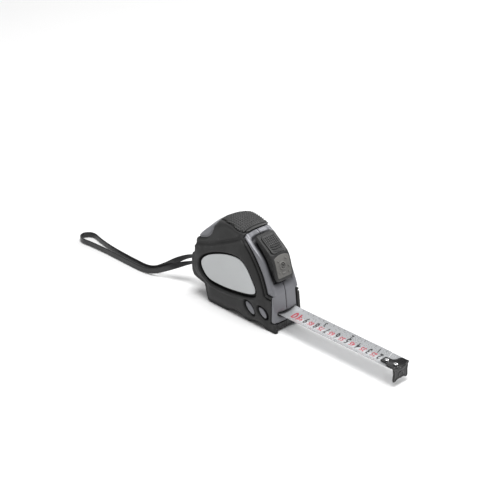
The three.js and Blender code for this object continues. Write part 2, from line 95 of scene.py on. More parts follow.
# ---- Camera ----
def make_camera():
    azimuth, elevation, roll = math.radians(45.24), math.radians(26.33), math.radians(0.66)
    distance, aim = 1.11855, Vector((0.01874, 0, 0.04882))
    back = Vector((math.sin(azimuth) * math.cos(elevation), -math.cos(azimuth) * math.cos(elevation),
                   math.sin(elevation)))
    right = Vector((math.cos(azimuth), math.sin(azimuth), 0))
    up = back.cross(right)
    across = right * math.cos(roll) + up * math.sin(roll)
    along = up * math.cos(roll) - right * math.sin(roll)
    data = bpy.data.cameras.new("camera")
    data.sensor_width = 36
    data.lens = 110.19
    data.clip_start, data.clip_end = 0.05, 20
    camera = bpy.data.objects.new("camera", data)
    bpy.context.scene.collection.objects.link(camera)
    place = aim + back * distance
    camera.matrix_world = Matrix((
        (across.x, along.x, back.x, place.x), (across.y, along.y, back.y, place.y),
        (across.z, along.z, back.z, place.z), (0, 0, 0, 1)))
    bpy.context.scene.camera = camera


make_camera()


# ---- Curves and distance fields ----
def spline(points, steps=8, closed=False):
    """Catmull-Rom curve through the points."""
    p = np.array(points, float)
    n = len(p)
    out = []
    for i in range(n if closed else n - 1):
        if closed:
            a, b, c, d = p[(i - 1) % n], p[i], p[(i + 1) % n], p[(i + 2) % n]
        else:
            a, b, c, d = p[max(i - 1, 0)], p[i], p[i + 1], p[min(i + 2, n - 1)]
        for k in range(steps):
            t = k / steps
            out.append(b + 0.5 * t * (c - a + t * (2 * a - 5 * b + 4 * c - d + t * (3 * (b - c) + d - a))))
    if not closed:
        out.append(p[-1])
    return np.array(out)


def case_outline(arched=True):
    """The case from the side, with or without the arches between its feet."""
    pieces = [
        [(60, 0)],
        spline([(56.3, 28.6), (52.5, 37.5), (44.5, 52.8), (33.7, 63.6), (27.4, 67.6)]),
        spline([(24.4, 69.8), (17, 72.2), (7, 72.7), (-3.6, 68.6)])[:-1],
        spline([(-3.6, 68.6), (-13.7, 61.6), (-21, 53.6), (-24.9, 47.4), (-26.4, 40)]),
        [(-26.8, 36), (-28.8, 34.6), (-29.8, 31.9), (-29.8, 24)],
        spline([(-29.3, 19.6), (-27.2, 16.2), (-23, 14.6)], 4),
        [(-15.6, 13), (-13, 3.4), (-12, 1), (-9.3, 0)],
    ]
    if arched:
        pieces += [
            spline([(8.8, 0), (14.5, 3.1), (21.5, 3.9), (29.4, 0)]),
            spline([(32.4, 0), (37, 2.5), (43, 3.3), (50.1, 0)]),
        ]
    return np.concatenate([np.array(piece, float) for piece in pieces])


def ellipse(cx, cz, a, b, turn=0.0, start=0.0, end=2 * math.pi, steps=40):
    """Points round an ellipse turned in the side view; a part of it between start and end keeps both ends."""
    t = np.linspace(start, end, steps, endpoint=abs(end - start) < 6.2)
    c, s = math.cos(turn), math.sin(turn)
    along, across = a * np.cos(t), b * np.sin(t)
    return np.stack([cx + along * c - across * s, cz + along * s + across * c], 1)


# Outlines in the side view, as (x, z).
OUTLINE = case_outline()
CORE_OUTLINE = case_outline(False)
FRAME_INNER = [
    (24.6, 65.4), (29.6, 61.5), (35.3, 55.8), (40.1, 49.4), (45.3, 41.2), (48.6, 33.3), (50.2, 28.6)]
FRAME_BAND = np.concatenate([
    spline(FRAME_INNER, 4), [(58, 28.6), (52.4, 42), (41, 60), (30, 68.6), (26, 69.6)]])
FRAME_BAR = [(24.6, 65.4), (27.2, 62), (28.9, 63.6), (29, 66.8), (27.2, 68.6), (25.6, 69.4)]
NOSE = [(54, 7.6), (58.35, 7.6), (57.8, 12.2), (55.8, 28.3), (54, 28.3)]
FRONT_BLOCK = [(50, 7.2), (58.4, 7.2), (57.8, 12.2), (55.7, 28.7), (54.5, 32.6), (52.2, 36), (48.4, 36.2)]
REAR_INSERT = np.concatenate([
    [(-28, 49.2), (-24.4, 48.9)],
    spline([(-18.9, 50.3), (-13.5, 52.6), (-9.8, 56), (-7.2, 61.4), (-6, 66.4)], 5),
    [(-7, 72), (-28, 72)]])
GRIP_REGION = np.concatenate([
    [(24.9, 68.3), (27.4, 76), (-8, 76), (-6, 67)],
    spline([(0.3, 69), (6, 69.9), (11.5, 70), (19, 68.3), (22.6, 67.9)], 5)])
LOWER_SIDE = np.concatenate([
    spline([(-25.9, 42.3), (-22.5, 43.7), (-15.7, 45.6), (-8, 48.3), (-1.3, 51.4), (8.2, 55.5), (16.6, 59.6),
            (23, 63.2)], 5),
    [(x - 0.4, z) for x, z in FRAME_INNER[1:]],
    [(56.2, 28.6), (64, 28.6), (64, -4), (-40, -4), (-40, 42)]])
PILLOW = spline([
    (-22, 40), (-8, 46), (8.2, 53), (17, 57.6), (24, 59.4), (32.5, 53), (38.6, 46), (43, 38), (46.4, 29),
    (50, 18), (51.5, 6.5), (46, 3), (-6, 3), (-11, 8), (-13, 15), (-22, 18.5), (-26.2, 24),
    (-25.6, 33)], 6, True)
LABEL = spline([
    (-17.2, 30.6), (-10.9, 38.8), (6.3, 46), (21.3, 48.2), (29.7, 44.2), (37.2, 34), (39.8, 28.4),
    (37.3, 24.9), (24.3, 21.8), (5.4, 19.8), (-10, 21.4)], 8, True)
OVALS = [ellipse(34.4, 12.6, 6, 3.1, -0.73), ellipse(47.1, 13.4, 5, 2.5, -0.73)]


def crescent_outline(radius=31.4, widest=4.6, first=-0.12, last=-1.95, steps=28):
    """A band round the drum's axis, cut off at its first angle and running to a point at its last."""
    sweep = np.linspace(first, last, steps)
    inner = radius - GAP - widest * np.sin(math.pi * (sweep - last) / 2.6) ** 0.8
    outer = ellipse(*DRUM, radius, radius, 0, first, last, steps)
    return np.concatenate([
        outer, np.stack([DRUM[0] + inner * np.cos(sweep), DRUM[1] + inner * np.sin(sweep)], 1)[::-1]])


CRESCENT = crescent_outline()


class Grid:
    """Sample points of a box, as three arrays that broadcast against each other."""

    def __init__(self, low, high, step):
        self.low, self.step = np.array(low, float), step * COARSE
        axes = [self.low[i] + self.step * np.arange(int(math.ceil((high[i] - low[i]) / self.step)) + 1)
                for i in range(3)]
        self.x, self.y, self.z = np.meshgrid(*axes, indexing="ij", sparse=True)


def region(u, v, points):
    """Signed distance to a closed outline in the plane (u, v), negative inside."""
    corners = np.array(points, float)
    nearest, inside = None, None
    for a, b in zip(corners, np.roll(corners, -1, 0)):
        edge = b - a
        size = float(edge @ edge)
        if size < 1e-12:
            continue
        t = np.clip(((u - a[0]) * edge[0] + (v - a[1]) * edge[1]) / size, 0, 1)
        gap = (u - a[0] - t * edge[0]) ** 2 + (v - a[1] - t * edge[1]) ** 2
        crosses = (a[1] > v) != (b[1] > v)
        if abs(edge[1]) > 1e-12:
            crosses = crosses & (u < a[0] + edge[0] * (v - a[1]) / edge[1])
        else:
            crosses = crosses & False
        nearest = gap if nearest is None else np.minimum(nearest, gap)
        inside = crosses if inside is None else inside ^ crosses
    return np.where(inside, -1, 1) * np.sqrt(nearest)


def track(u, v, points):
    """Distance to an open line, and how far along it the nearest point is."""
    line = np.array(points, float)
    nearest, along, run = None, None, 0.0
    for a, b in zip(line[:-1], line[1:]):
        edge = b - a
        size = float(edge @ edge)
        t = np.clip(((u - a[0]) * edge[0] + (v - a[1]) * edge[1]) / size, 0, 1)
        gap = (u - a[0] - t * edge[0]) ** 2 + (v - a[1] - t * edge[1]) ** 2
        here = run + t * math.sqrt(size)
        if nearest is None:
            nearest, along = gap, here
        else:
            along = np.where(gap < nearest, here, along)
            nearest = np.minimum(gap, nearest)
        run += math.sqrt(size)
    return np.sqrt(nearest), along


def around(u, v, centre):
    """Distance from a point of the plane."""
    return np.hypot(u - centre[0], v - centre[1])


def runs(line):
    """How far along the line each of its points is, and its direction there."""
    run = np.concatenate([[0], np.cumsum(np.linalg.norm(np.diff(line, axis=0), axis=1))])
    tangent = np.gradient(line, run, axis=0)
    return run, tangent / np.linalg.norm(tangent, axis=1)[:, None]


def join(a, b, r=0.0):
    """Union, with a fillet of radius r."""
    plain = np.minimum(a, b)
    return plain - np.maximum(r - np.abs(a - b), 0) ** 2 / (4 * r) if r else plain


def meet(a, b, r=0.0):
    """Intersection, with a rounded edge of radius r."""
    plain = np.maximum(a, b)
    return plain + np.maximum(r - np.abs(a - b), 0) ** 2 / (4 * r) if r else plain


def cut(a, b, r=0.0):
    """What is left of a without b."""
    return meet(a, -b, r)


def step(x, a, b):
    """Smooth rise from 0 at a to 1 at b."""
    t = np.clip((x - a) / (b - a), 0, 1)
    return t * t * (3 - 2 * t)


def bump(x, centre, width):
    """A smooth hump of height 1."""
    return np.exp(-(((x - centre) / width) ** 2))


def block(*distances):
    """Intersection of several regions, with sharp edges."""
    out = distances[0]
    for d in distances[1:]:
        out = np.maximum(out, d)
    return out


def camber(x, y, z, near):
    """How far the crown lies inside the side outline. The -Y side falls away more, and the rear rises."""
    across = np.minimum(np.abs(y) / CROWN, 1.2)
    fall = np.where(near, 3.4, 0.9) * across ** 2.2
    rise = 1.1 * bump(x, -6, 17) * np.where(near, np.maximum(1 - across, 0), 1)
    return (fall - rise) * step(z, 51, 65)


def round_box(u, v, half_u, half_v, r):
    """Signed distance to a rectangle with corners of radius r, centred on zero."""
    du, dv = np.abs(u) - half_u + r, np.abs(v) - half_v + r
    return np.hypot(np.maximum(du, 0), np.maximum(dv, 0)) + np.minimum(np.maximum(du, dv), 0) - r


def soften(field, times=1):
    """Rounds every edge by about a sample's width."""
    for _ in range(times):
        for axis in range(3):
            f = np.moveaxis(field, axis, 0)
            g = f.copy()
            g[1:-1] = (f[:-2] + 2 * f[1:-1] + f[2:]) / 4
            field = np.moveaxis(g, 0, axis)
    return field


def nets(grid, field, soft=1):
    """The surface where the field is zero, as points and outward quads."""
    field = np.broadcast_to(field, np.broadcast(grid.x, grid.y, grid.z).shape)
    field = soften(np.clip(field, -4 * grid.step, 4 * grid.step), soft)
    field = np.where(np.abs(field) < 1e-6, 1e-6, field)
    inside = field < 0
    size = field.shape

    def part(a, c):
        return a[c[0]:size[0] - 1 + c[0], c[1]:size[1] - 1 + c[1], c[2]:size[2] - 1 + c[2]]

    corners = [(i, j, k) for i in (0, 1) for j in (0, 1) for k in (0, 1)]
    count = sum(part(inside, c).astype(np.int8) for c in corners)
    active = (count > 0) & (count < 8)
    cells = np.argwhere(active)
    index = np.full(active.shape, -1, np.int64)
    index[active] = np.arange(len(cells))
    value = {c: part(field, c)[active] for c in corners}
    total, hits = np.zeros((len(cells), 3)), np.zeros(len(cells))
    for c in corners:
        for axis in range(3):
            if c[axis]:
                continue
            other = tuple(1 if i == axis else c[i] for i in range(3))
            a, b = value[c], value[other]
            crossing = (a < 0) != (b < 0)
            share = a[crossing] / (a[crossing] - b[crossing])
            total[crossing] += np.array(c) + share[:, None] * (np.array(other) - np.array(c))
            hits += crossing
    points = grid.low + (cells + total / hits[:, None]) * grid.step
    quads = []
    for axis, (u, v) in enumerate([(1, 2), (2, 0), (0, 1)]):
        f = np.moveaxis(inside, axis, 0)
        change = np.moveaxis(f[:-1] != f[1:], 0, axis)
        edge = np.argwhere(change)
        keep = (edge[:, u] > 0) & (edge[:, v] > 0) & (edge[:, u] < size[u] - 1) & (edge[:, v] < size[v] - 1)
        edge = edge[keep]

        def cell(du, dv):
            at = edge.copy()
            at[:, u] -= du
            at[:, v] -= dv
            return index[at[:, 0], at[:, 1], at[:, 2]]

        quad = np.stack([cell(1, 1), cell(0, 1), cell(0, 0), cell(1, 0)], 1)
        out = inside[edge[:, 0], edge[:, 1], edge[:, 2]]
        quads.append(np.where(out[:, None], quad, quad[:, ::-1]))
    return points, np.concatenate(quads)


def mirrored(points, faces):
    """The same mesh on the -Y side."""
    return points * (1, -1, 1), faces[:, ::-1]


def bands(rings, sides):
    """Quads between rings of points that follow each other, every ring closed on itself."""
    faces = []
    for r in range(rings - 1):
        for i in range(sides):
            j = (i + 1) % sides
            faces.append([r * sides + i, r * sides + j, (r + 1) * sides + j, (r + 1) * sides + i])
    return faces


# ---- Pieces ----
def piece(name, points, faces, look, body=None, stands_for=(), slot=None, smooth=True):
    """One named mesh from points in millimetres."""
    data = bpy.data.meshes.new(name)
    data.from_pydata((np.asarray(points, float) * MM).tolist(), [], [list(map(int, f)) for f in faces])
    data.validate()
    data.polygons.foreach_set("use_smooth", [smooth] * len(data.polygons))
    data.materials.append(look)
    return register(bpy.data.objects.new(name, data), body, stands_for)


def register(obj, body, stands_for=()):
    if obj.name not in bpy.context.scene.collection.objects:
        bpy.context.scene.collection.objects.link(obj)
    if body:
        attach(obj, body)
    if stands_for:
        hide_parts(*stands_for)
    return obj


def outward(obj):
    """Turns the faces of a closed mesh outwards."""
    work = bmesh.new()
    work.from_mesh(obj.data)
    bmesh.ops.recalc_face_normals(work, faces=work.faces)
    work.to_mesh(obj.data)
    work.free()
    return obj


# ---- Materials ----
def look(name, colour, rough, metal=0.0, specular=0.5, grain=(1800, 0.25), patch=(45, 0.12), worn=(0.35, 1.6),
         scratch=0.0, coat=0.0, painted_hollow_shade=0.0):
    """A moulded, painted or metal surface: fine grain as bump, broad patches in colour and gloss, paler worn
    edges, and fine scratches, a clear coat and painted shade in the hollows, from ambient occlusion, where
    asked."""
    m = bpy.data.materials.new(name)
    m.use_nodes = True
    tree = m.node_tree
    nodes, links = tree.nodes, tree.links
    nodes.clear()
    shader = nodes.new("ShaderNodeBsdfPrincipled")
    out = nodes.new("ShaderNodeOutputMaterial")
    links.new(shader.outputs["BSDF"], out.inputs["Surface"])
    shader.inputs["Metallic"].default_value = metal
    shader.inputs["Specular IOR Level"].default_value = specular
    if coat:
        shader.inputs["Coat Weight"].default_value = coat
        shader.inputs["Coat Roughness"].default_value = 0.2
    place = nodes.new("ShaderNodeTexCoord").outputs["Object"]

    def noise(scale, detail=3.0, where=place):
        n = nodes.new("ShaderNodeTexNoise")
        n.inputs["Scale"].default_value = scale
        n.inputs["Detail"].default_value = detail
        links.new(where, n.inputs["Vector"])
        return n.outputs["Fac"]

    def span(value, low, high, to_low, to_high):
        r = nodes.new("ShaderNodeMapRange")
        for i, v in enumerate((low, high, to_low, to_high)):
            r.inputs[i + 1].default_value = v
        links.new(value, r.inputs[0])
        return r.outputs[0]

    def mix(share, a, b):
        x = nodes.new("ShaderNodeMix")
        x.data_type = "RGBA"
        links.new(share, x.inputs[0])
        for socket, v in ((x.inputs[6], a), (x.inputs[7], b)):
            if isinstance(v, tuple):
                socket.default_value = (*v, 1)
            else:
                links.new(v, socket)
        return x.outputs[2]

    patches = noise(patch[0])
    dark = tuple(c * (1 - patch[1]) for c in colour)
    light = tuple(min(1.0, c * (1 + patch[1])) for c in colour)
    body = mix(span(patches, 0.35, 0.65, 0, 1), dark, light)
    edge = nodes.new("ShaderNodeNewGeometry").outputs["Pointiness"]
    rubbed = nodes.new("ShaderNodeMath")
    rubbed.operation = "MULTIPLY"
    links.new(span(edge, 0.52, 0.60, 0, worn[0]), rubbed.inputs[0])
    links.new(span(noise(320, 4), 0.4, 0.6, 0.3, 1), rubbed.inputs[1])
    paler = tuple(min(1.0, c * worn[1] + 0.012) for c in colour)
    body = mix(rubbed.outputs[0], body, paler)
    if scratch:
        stretch = nodes.new("ShaderNodeMapping")
        stretch.inputs["Scale"].default_value = (1, 14, 14)
        stretch.inputs["Rotation"].default_value = (0.1, 0.25, 0.4)
        links.new(place, stretch.inputs["Vector"])
        lines = noise(160, 6, stretch.outputs["Vector"])
        body = mix(span(lines, 0.62, 0.72, 0, scratch), body, paler)
    # Painted shade: an ambient occlusion node darkens the base colour towards black in hollows and grooves.
    if painted_hollow_shade:
        hollow = nodes.new("ShaderNodeAmbientOcclusion")
        hollow.samples = 8
        hollow.inputs["Distance"].default_value = 0.005
        body = mix(span(hollow.outputs["AO"], 0.56, 0.95, 1 - painted_hollow_shade, 1), (0.003, 0.003, 0.003), body)
    links.new(body, shader.inputs["Base Color"])
    uneven = nodes.new("ShaderNodeMath")
    links.new(span(noise(patch[0] * 2.3), 0.3, 0.7, rough * 0.88, rough * 1.12), uneven.inputs[0])
    links.new(span(noise(900, 2), 0.3, 0.7, -0.04, 0.04), uneven.inputs[1])
    uneven.use_clamp = True
    links.new(uneven.outputs[0], shader.inputs["Roughness"])
    relief = nodes.new("ShaderNodeBump")
    relief.inputs["Strength"].default_value = grain[1]
    relief.inputs["Distance"].default_value = 0.00012
    links.new(noise(grain[0], 4), relief.inputs["Height"])
    links.new(relief.outputs["Normal"], shader.inputs["Normal"])
    return m


# The last number of many looks sets how deep the painted shade in their hollows goes.
LOOKS = {
    "rubber": look("black moulded rubber", (0.027, 0.027, 0.027), 0.55, specular=0.25, grain=(2200, 0.35),
                   patch=(38, 0.14), worn=(0.6, 3.2), painted_hollow_shade=0.95),
    "grip": look("ribbed black rubber", (0.04, 0.04, 0.04), 0.5, specular=0.4, grain=(2400, 0.3),
                 worn=(0.7, 3.4), painted_hollow_shade=0.97),
    "shell": look("satin grey plastic", (0.175, 0.177, 0.192), 0.36, metal=0.2, grain=(2600, 0.12),
                  patch=(30, 0.06), worn=(0.4, 1.35), scratch=0.12, painted_hollow_shade=0.85),
    "label": look("light grey plate", (0.5, 0.515, 0.52), 0.36, specular=0.45, grain=(1500, 0.08),
                  patch=(26, 0.04), worn=(0.2, 1.15), coat=0.15),
    "cover": look("black disc plastic", (0.022, 0.022, 0.023), 0.5, specular=0.4, grain=(2200, 0.25),
                  painted_hollow_shade=0.6),
    "button": look("black button plastic", (0.022, 0.022, 0.022), 0.48, specular=0.42, grain=(2600, 0.3),
                   worn=(0.6, 3.2), painted_hollow_shade=0.9),
    "pad": look("black button rubber", (0.036, 0.036, 0.036), 0.5, specular=0.4, grain=(2600, 0.3),
                worn=(0.7, 3.4), painted_hollow_shade=0.97),
    "panel": look("warm grey button face", (0.135, 0.132, 0.125), 0.45, specular=0.4, grain=(2400, 0.25),
                  worn=(0.6, 2.6), painted_hollow_shade=0.97),
    "black_steel": look("black coated steel", (0.016, 0.016, 0.017), 0.3, metal=0.25, grain=(1300, 0.2),
                        worn=(0.6, 4.0), scratch=0.2, painted_hollow_shade=0.5),
    "steel": look("bright steel", (0.72, 0.72, 0.73), 0.24, metal=1.0, grain=(1600, 0.12), patch=(90, 0.08),
                  worn=(0.3, 1.1), scratch=0.25),
    "dark_steel": look("dark screw steel", (0.13, 0.13, 0.135), 0.33, metal=0.9, grain=(1600, 0.15)),
    "tape": look("silver white lacquer", (0.54, 0.55, 0.565), 0.3, metal=0.5, grain=(900, 0.06),
                 patch=(22, 0.03), worn=(0.2, 1.1), scratch=0.15, coat=0.2),
    "black_print": look("black print", (0.03, 0.029, 0.031), 0.45, grain=(2000, 0.1), patch=(160, 0.2)),
    "red_print": look("red print", (0.36, 0.05, 0.07), 0.45, grain=(2000, 0.1), patch=(160, 0.12)),
    "reel_plastic": look("natural plastic", (0.66, 0.65, 0.60), 0.5, grain=(1800, 0.15)),
    "strap": look("black coated webbing", (0.012, 0.012, 0.013), 0.36, grain=(2600, 0.5),
                  patch=(70, 0.2), worn=(0.4, 2.0)),
}


# ---- Wrist strap: flat coated webbing, on edge where it lies ----
STRAP = [
    (-30.2, 0, 24.6), (-37, -0.7, 23.9), (-46, -2.9, 20.8), (-55, -6.3, 15.6), (-63.5, -9.8, 9.6),
    (-72, -12.6, 4.8), (-81, -13.8, 2.8), (-95, -13.9, 2.6), (-112, -13.4, 2.6), (-128, -12.2, 2.6),
    (-142, -10, 2.6), (-151, -7.9, 2.6), (-156.6, -8.9, 2.6), (-159.6, -13.4, 2.6), (-157.6, -18.2, 2.6),
    (-151.6, -20.4, 2.6), (-142, -19.6, 2.6), (-128, -18.9, 2.6), (-112, -18.8, 2.6), (-95, -19, 2.6),
    (-81, -18.6, 2.7), (-71, -16.4, 4), (-62, -12.9, 7.8), (-53.5, -8.9, 12.2), (-45, -5, 16.2),
    (-37, -1.8, 19.2), (-30.2, 0, 20.4),
]
STRAP_WIDE, STRAP_THICK = 4.6, 1.4


def strap():
    """Swept along its route. It turns from lying flat at the case to standing on edge on the floor."""
    route = spline(STRAP, 10)
    run, tangent = runs(route)
    twist = step(np.minimum(run, run[-1] - run), 3, 40)
    points, sides = [], 20
    for c, t, w in zip(route, tangent, twist):
        flat = np.cross(np.array([0, 1.0, 0]), t)
        flat /= np.linalg.norm(flat)
        level = np.cross(t, flat)
        tall = np.array([0, 0, 1.0]) - t * t[2]
        tall /= np.linalg.norm(tall)
        wide = level * math.cos(w * math.pi / 2) + tall * math.sin(w * math.pi / 2)
        wide -= t * (wide @ t)
        wide /= np.linalg.norm(wide)
        thin = np.cross(t, wide)
        for k in range(sides):
            a = 2 * math.pi * k / sides
            ca, sa = math.cos(a), math.sin(a)
            u = math.copysign(abs(ca) ** 0.45, ca) * STRAP_WIDE / 2
            v = math.copysign(abs(sa) ** 0.7, sa) * STRAP_THICK / 2 * (1 - 0.12 * math.cos(2 * a) ** 2)
            points.append(c + wide * u + thin * v)
    faces = bands(len(route), sides)
    faces.append(list(range(sides))[::-1])
    faces.append([(len(route) - 1) * sides + i for i in range(sides)])
    obj = outward(piece("wrist_loop", points, faces, LOOKS["strap"], "case", ["wrist_strap"], "strap"))


strap()


# ---- Case: rubber jackets ----
def strap_way(x, y, z):
    """The opening in the rear through which the strap reaches its pin."""
    return block(x + 21.5, y - 3.5, round_box(z - STRAP_HOLE[1], x + 27, 4.9, 6, 1.5))


def jacket(left):
    """One half of the rubber overmould, on the +Y side. The left one goes round the cover and the clip."""
    g = Grid((-31, -0.9, -1.2), (61.4, 17.4, 71.4), 0.42)
    x, y, z = g.x, g.y, g.z
    outline = region(x, z, OUTLINE)
    band = region(x, z, FRAME_BAND)
    insert = region(x, z, REAR_INSERT)
    crown = region(x, z, GRIP_REGION)
    lower = region(x, z, LOWER_SIDE)
    pillow = region(x, z, PILLOW)
    # The side's distance from the mid-plane: crown, the step to the lower side, and its swelling.
    side = CROWN - (0.5 + 0.5 * step(x, -8, 8)) * bump(lower, 1.2, 1.0)
    side = side + (LIP - CROWN) * step(-lower, 0.0, 0.9)
    side = side + 0.6 * bump(lower, -1.2, 0.9) * step(x, 2, -12) * (0.75 + 0.25 * np.sin(0.9 * x))
    side = side + (BULGE - LIP) * np.sqrt(step(-pillow, -0.3, 6.5))
    # Grooves round the frame, the rear insert and the crown pad.
    side = side - 1.6 * (1 - step(band, 1.0, 1.5)) - 1.4 * step(band, 2.0, 2.4) * step(band, 3.7, 3.3)
    side = side - 0.7 * (1 - step(insert, 0.5, 1.5)) - 0.5 * (1 - step(crown, 0.4, 1.0))
    if left:
        reach = around(x, z, DRUM)
        side = np.where(reach < 30, np.minimum(side, 15.4 + 0.12 * np.maximum(reach - 26, 0)), side)
        side = side - 0.5 * bump(reach, 26.6, 0.7)
        for groove, top in ((-13.4, 47), (-16.8, 46), (-20.4, 33)):
            side = side - 0.9 * bump(x, groove, 0.55) * step(z, 18, 20) * step(z, top, top - 2)
        crescent = region(x, z, CRESCENT)
        side = side - 0.6 * (1 - step(crescent, 0.5, 1.1))
    else:
        label = region(x, z, LABEL)
        rim = region(x + 0.5, z + 0.9, LABEL)
        side = side - 2.8 * (1 - step(rim, 1.4, 2.3)) + 0.6 * bump(rim, 3.4, 0.8) * step(z, 34, 24)
        side = np.where(label < -0.4, 14.6, side)
        for oval in OVALS:
            side = side - 1.8 * (1 - step(region(x, z, oval), 0.9, 1.4))
    side = np.maximum(side, GROOVE_FLOOR)
    fall = camber(x, y, z, not left)
    field = meet(y - side, outline + fall, 1.7)
    core = block(region(x, z, CORE_OUTLINE) + SKIN - GAP + fall, y - CORE - 0.1, 4.5 - z)
    field = cut(field, core)
    for window in (band, insert, crown):
        field = cut(field, window - GAP, 0.3)
    mouth = region(x, z, [(49.7, 6.9), (54.1, 6.9), (54.1, -3), (64, -3), (64, 30), (49.7, 30)])
    field = cut(field, block(mouth, y - MOUTH - GAP), 0.4)
    field = cut(field, strap_way(x, y, z), 0.4)
    if left:
        field = cut(field, block(crescent - GAP, 9 - y), 0.3)
        field = cut(field, block(reach - COVER_REACH - GAP, 13.5 - y), 0.3)
        for centre in SCREWS.values():
            field = cut(field, block(around(x, z, centre) - SCREW_WELL, 9 - y), 0.3)
    else:
        field = cut(field, block(54.8 - x, 7.3 - z, z - 28.6, 9 - y), 0.35)
        for oval in OVALS:
            field = cut(field, block(region(x, z, oval) - GAP, 9 - y), 0.3)
    return nets(g, np.maximum(field, SEAM - y))


piece("left_jacket", *jacket(True), LOOKS["rubber"], "case", ["left_rubber_jacket"], "rubber")
piece("right_jacket", *mirrored(*jacket(False)), LOOKS["rubber"], "case", ["right_rubber_jacket"], "rubber")


# ---- Case: hard shells with the grey frame, mouth, rear insert and side windows ----
def shell(left):
    """One half shell on the +Y side: a hollow core, and the grey parts that stand through the rubber."""
    g = Grid((-29, -0.9, 3.6), (59.8, 16.2, 72.4), 0.42)
    x, y, z = g.x, g.y, g.z
    fall = camber(x, y, z, not left)
    outline = region(x, z, OUTLINE) + fall
    core_line = region(x, z, CORE_OUTLINE) + fall
    field = block(core_line + SKIN, y - CORE, 4.8 - z)
    field = cut(field, block(core_line + SKIN + WALL, y - CORE + WALL, 4.8 + WALL - z))
    band = region(x, z, FRAME_BAND)
    rail = meet(meet(band, outline, 1.0), np.maximum(y - RAIL_OUT, RAIL_IN - y), 1.3)
    field = join(field, rail)
    bar = meet(meet(region(x, z, FRAME_BAR), outline, 0.8), y - RAIL_IN - 0.6)
    field = join(field, bar, 1.6)
    face = region(x, z, FRONT_BLOCK)
    field = join(field, meet(face, y - MOUTH, 0.6))
    if not left:
        field = join(field, meet(meet(region(x, z, NOSE), y - NOSE_HALF, 0.9), np.maximum(9 - y, 54.9 - x)))
    rear = meet(meet(region(x, z, REAR_INSERT), outline + 0.1, 1.0), y - RAIL_OUT + 0.3, 2.6)
    field = join(field, cut(rear, block(core_line + SKIN + WALL, y - 10)))
    for centre in SCREWS.values():
        away = around(x, z, centre)
        field = join(field, block(away - 2.5, y - CORE))
        field = cut(field, block(away - SCREW_BORE, y - (20 if left else 7)))
        if left:
            field = cut(field, block(away - 2.45, 10.7 - y))
    boss = block(x + 21.3, -28.4 - x, y - 7, 16.6 - z, z - 28.6, core_line + SKIN)
    field = join(field, boss)
    field = cut(field, strap_way(x, y, z))
    field = cut(field, block(around(x, z, STRAP_HOLE) - 1.5, y - 7.1))
    for window in [CRESCENT] if left else OVALS:
        away = region(x, z, window)
        pad = meet(away, y - BULGE + 0.75 + 0.02 * np.maximum(away + 3, 0) ** 2, 0.7)
        field = join(field, meet(pad, 11.5 - y))
    top = 14.5 + 0.9 * (y / SLOT_HALF) ** 2
    low = 10.3 + 3.4 * (y / SLOT_HALF) ** 2
    throat = block(46 - x, y - SLOT_HALF, low - z, z - top)
    field = cut(field, throat, 0.25)
    field = cut(field, block(region(x, z, [(44, 37), (54, 41), (43, 58), (34.6, 54)]), y - 2.6))
    field = cut(field, block(54.1 - x, y - MOUTH - GAP, z - 6.9))
    seam = SEAM - 0.1 * step(region(x, z, FRAME_BAR), 1.0, -0.2)
    return nets(g, np.maximum(field, seam - y))


piece("left_shell", *shell(True), LOOKS["shell"], "case", ["left_case_shell"], "shell")
piece("right_shell", *mirrored(*shell(False)), LOOKS["shell"], "case", ["right_case_shell"], "shell")


# ---- Grip on the crown, with a grid of small bumps ----
KNURL = 1.9


def grip():
    g = Grid((-7, -14.2, 64.6), (26.4, 14.2, 73.8), 0.22)
    x, y, z = g.x, g.y, g.z
    fall = camber(x, y, z, y < 0)
    outline = region(x, z, OUTLINE) + fall
    side = np.abs(y)
    rows, columns = (0.5 + 0.5 * np.cos(2 * math.pi * v / KNURL) for v in (x, y))
    sunk = (1 - (rows * columns) ** 0.6) * step(np.abs(x - 8.2), 13.9, 13.0)
    front_groove = 0.9 * bump(x, 23.0, 0.4)
    field = meet(outline + front_groove + 0.85 * sunk, side - CROWN + 0.6 * sunk, 1.0)
    field = meet(field, region(x, z, GRIP_REGION), 0.4)
    field = cut(field, block(region(x, z, CORE_OUTLINE) + SKIN - GAP + fall, side - CORE - 0.1))
    return nets(g, field)


piece("crown_grip", *grip(), LOOKS["grip"], "case", ["grip_pad"], "grip")


# ---- Plates laid on the side ----
def plate(outline, back, face, edge, dome):
    """A plate on the -Y side with a rolled edge and a slight dome."""
    line = np.array(outline, float)
    middle = line.mean(0)
    ahead, behind = np.roll(line, -1, 0), np.roll(line, 1, 0)
    along = (ahead - behind) / np.linalg.norm(ahead - behind, axis=1)[:, None]
    inward = np.stack([-along[:, 1], along[:, 0]], 1)
    if np.sum(inward * (middle - line)) < 0:
        inward = -inward
    rings = [(line + inward * 0.25, back), (line, back + 0.12)]
    for k in range(5):
        turn = k / 4 * math.pi / 2
        rings.append((line + inward * edge * (1 - math.cos(turn)), face - dome - edge * (1 - math.sin(turn))))
    base = rings[-1][0]
    for k in range(1, 12):
        share = 1 - k / 12
        rings.append((middle + (base - middle) * share, face - dome * share ** 2))
    n = len(line)
    points = [np.stack([r[:, 0], np.full(n, y), r[:, 1]], 1) for r, y in rings]
    points = np.concatenate(points + [[[middle[0], back, middle[1]], [middle[0], face, middle[1]]]])
    faces = bands(len(rings), n)
    last = (len(rings) - 1) * n
    for i in range(n):
        j = (i + 1) % n
        faces.append([last + i, last + j, len(points) - 1])
        faces.append([j, i, len(points) - 2])
    return points * (1, -1, 1), faces


outward(piece("side_plate", *plate(LABEL, 14.7, BULGE - 0.1, 0.35, 0.3), LOOKS["label"], "case",
              ["label_plate"], "label"))


